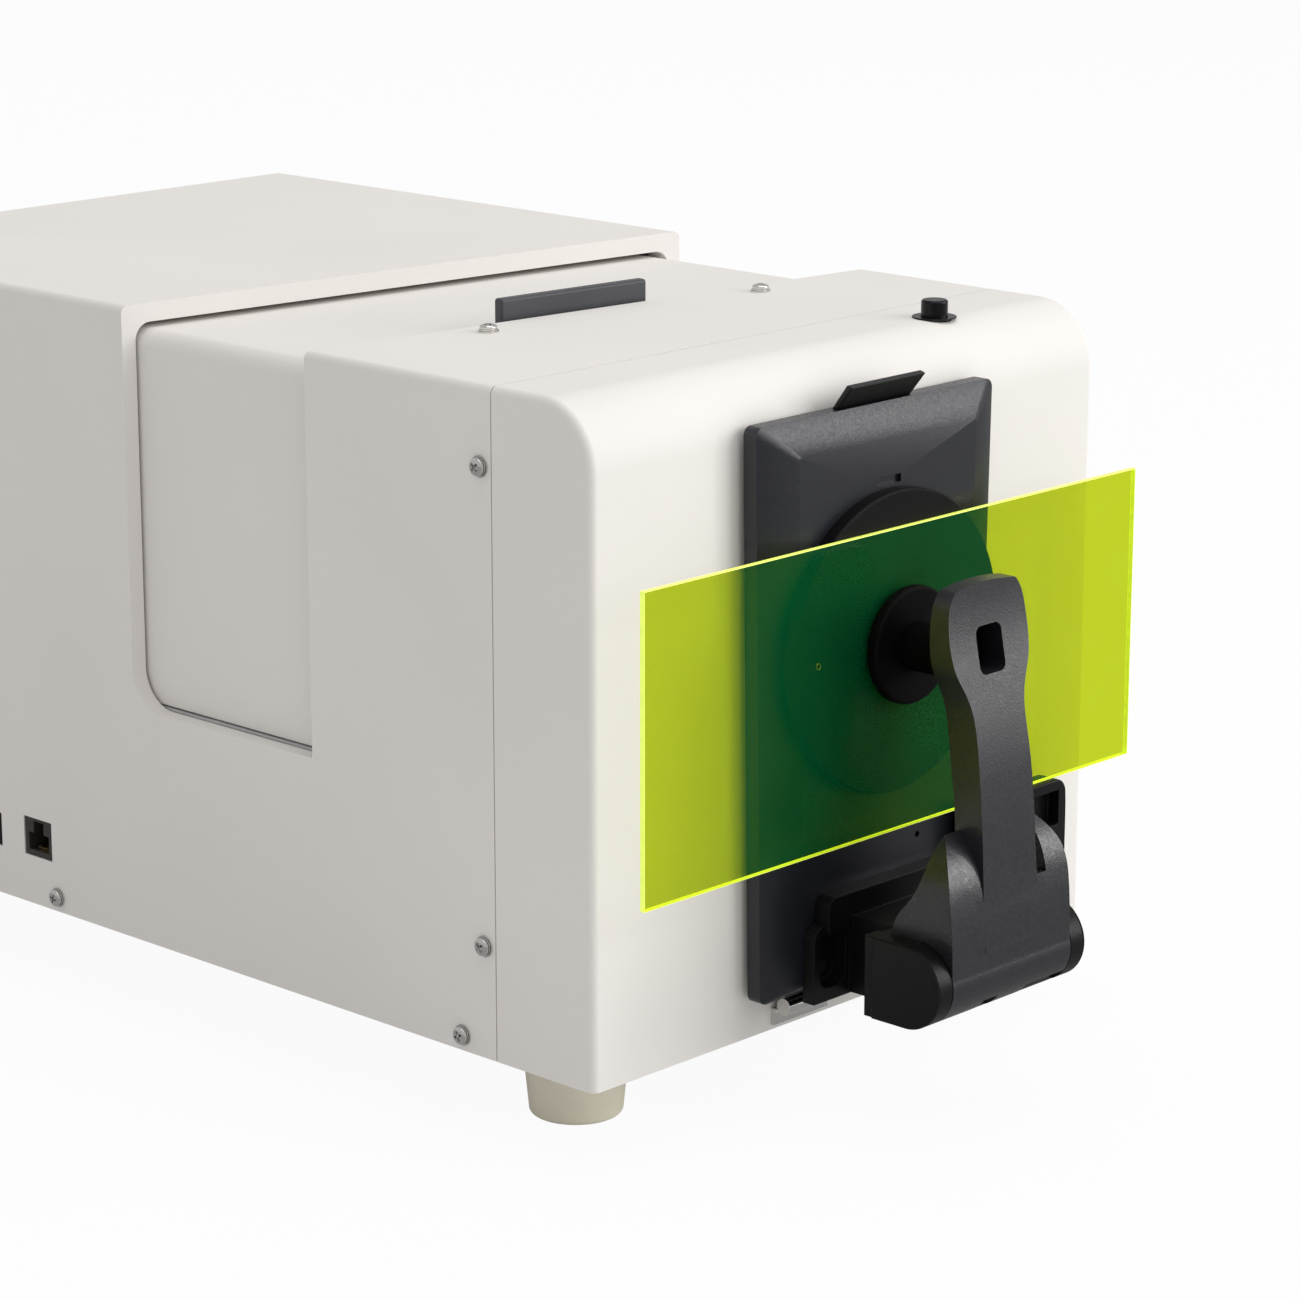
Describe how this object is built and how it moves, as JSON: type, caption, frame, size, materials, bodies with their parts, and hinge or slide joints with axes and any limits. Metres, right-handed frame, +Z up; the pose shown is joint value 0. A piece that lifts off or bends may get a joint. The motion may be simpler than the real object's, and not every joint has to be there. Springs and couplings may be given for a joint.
{
  "type": "benchtop color spectrophotometer",
  "caption": "Benchtop color spectrophotometer with a sliding chamber hood, a hinged port door and a sprung specimen arm holding a clear green sample plate.",
  "frame": {"origin": "middle of the bounding box in plan, at the table under the feet", "axes": "+Y from the specimen port at the front to the rear panel, +X to the right seen from the front, +Z up"},
  "size_m": [0.277, 0.5364, 0.2812],
  "materials": {
    "cover_white": "warm white paint with a fine matt grain",
    "rear_white": "warm white paint, matt",
    "foot_grey": "light grey moulded rubber, matt",
    "chassis_metal": "bare sheet, fine brushed",
    "panel_dark": "dark grey moulded plastic, fine grain",
    "black_plastic": "black moulded plastic, matt",
    "arm_grey": "grey moulded plastic with a leather grain",
    "pad_black": "black, matt",
    "plate_green": "clear yellow-green acrylic with bright cut edges",
    "steel": "bright plated steel",
    "button_black": "black moulded plastic, satin",
    "glass_clear": "clear polished glass",
    "board_green": "green solder mask",
    "capacitor_black": "black shrink sleeve",
    "pin_brass": "nickel-free brass pins"
  },
  "bodies": {
    "casing": {"main_cover": "cover_white", "front_cover": "cover_white", "base_pan": "chassis_metal", "foot_front_left": "foot_grey", "foot_front_right": "foot_grey", "foot_rear_left": "foot_grey", "foot_rear_right": "foot_grey", "hood_rail_left": "chassis_metal", "hood_rail_right": "chassis_metal", "optics_deck": "chassis_metal", "deck_posts": "chassis_metal", "front_bulkhead": "chassis_metal", "rear_bulkhead": "chassis_metal", "chamber_window": "glass_clear", "sphere_front_half": "chassis_metal", "sphere_rear_half": "chassis_metal", "port_tube": "black_plastic", "sphere_cradle": "chassis_metal", "lamp_housing": "chassis_metal", "flash_lamp": "glass_clear", "door_hinge_pin": "steel", "door_hinge_leaf": "steel", "button_collar": "button_black", "button_switch": "black_plastic", "network_socket": "black_plastic", "data_socket": "black_plastic", "rear_panel": "rear_white", "mains_inlet": "black_plastic", "inlet_pins": "pin_brass", "power_switch": "black_plastic", "main_board": "board_green", "board_standoffs": "chassis_metal", "power_supply": "chassis_metal", "lamp_supply": "chassis_metal", "flash_capacitor": "capacitor_black", "spectrograph_case": "chassis_metal", "spectrograph_lid": "chassis_metal", "objective_barrel": "black_plastic", "objective_lens": "glass_clear", "grating": "glass_clear", "sensor_array": "board_green", "cover_screws": "steel"},
    "hood": {"hood": "cover_white", "hood_handle": "panel_dark"},
    "door": {"port_door": "panel_dark", "finger_tab": "panel_dark", "target_mask": "black_plastic", "hinge_base": "black_plastic", "arm_pin": "steel", "knuckle_caps": "black_plastic", "arm_spring": "steel", "sample_rest": "black_plastic", "door_hinge_knuckle": "steel"},
    "arm": {"specimen_arm": "arm_grey", "specimen_pad": "pad_black", "pad_stem": "black_plastic"},
    "sample": {"sample_plate": "plate_green"},
    "button": {"measure_button": "button_black"},
    "rocker": {"power_rocker": "black_plastic"}
  },
  "joints": [
    {"name": "hood_slide", "type": "slide", "parent": "casing", "child": "hood", "axis": [0, 1, 0], "range_m": [0, 0.088]},
    {"name": "door_hinge", "type": "hinge", "parent": "casing", "child": "door", "pos_m": [0, -0.19875, 0.041], "axis": [1, 0, 0], "range_deg": [0, 25]},
    {"name": "arm_hinge", "type": "hinge", "parent": "door", "child": "arm", "pos_m": [0, -0.25325, 0.0606], "axis": [1, 0, 0], "range_deg": [0, 70], "stiffness_Nm_per_rad": 0.4, "springref_deg": -20.05},
    {"name": "sample_slide", "type": "slide", "parent": "door", "child": "sample", "axis": [1, 0, 0], "range_m": [-0.04, 0.04]},
    {"name": "button_press", "type": "slide", "parent": "casing", "child": "button", "axis": [0, 0, -1], "range_m": [0, 0.003], "stiffness_N_per_m": 400, "springref_m": -0.002},
    {"name": "power_rocker", "type": "hinge", "parent": "casing", "child": "rocker", "pos_m": [-0.028, 0.26025, 0.077], "axis": [-1, 0, 0], "range_deg": [0, 24]}
  ]
}
